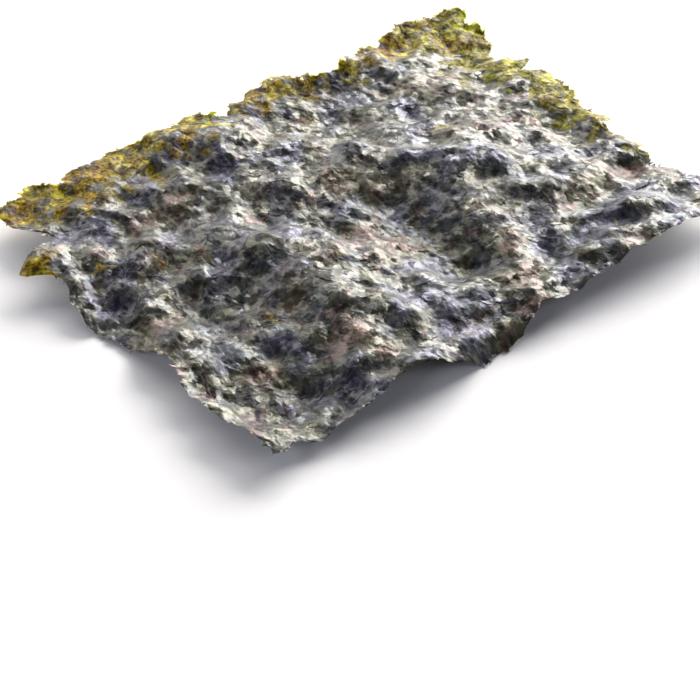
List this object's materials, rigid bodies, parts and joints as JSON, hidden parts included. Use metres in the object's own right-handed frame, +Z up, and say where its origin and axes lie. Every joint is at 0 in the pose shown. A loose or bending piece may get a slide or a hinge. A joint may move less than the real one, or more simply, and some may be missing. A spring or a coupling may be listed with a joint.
{
  "type": "roasted seaweed sheet",
  "caption": "Thin, wavy, crinkled leaf of roasted and seasoned seaweed with two cut edges and two ragged natural edges, lying flat, for wrapping rice.",
  "frame": {"origin": "middle of the bounding box's underside, on the surface the leaf lies on", "axes": "+Z up through the leaf's face; +X along its long side, towards a natural edge; +Y along its short side, towards the other natural edge"},
  "size_m": [0.1188, 0.099, 0.0077],
  "materials": {
    "laver": "satin"
  },
  "bodies": {
    "root": {"nori_sheet": "laver"}
  },
  "joints": []
}
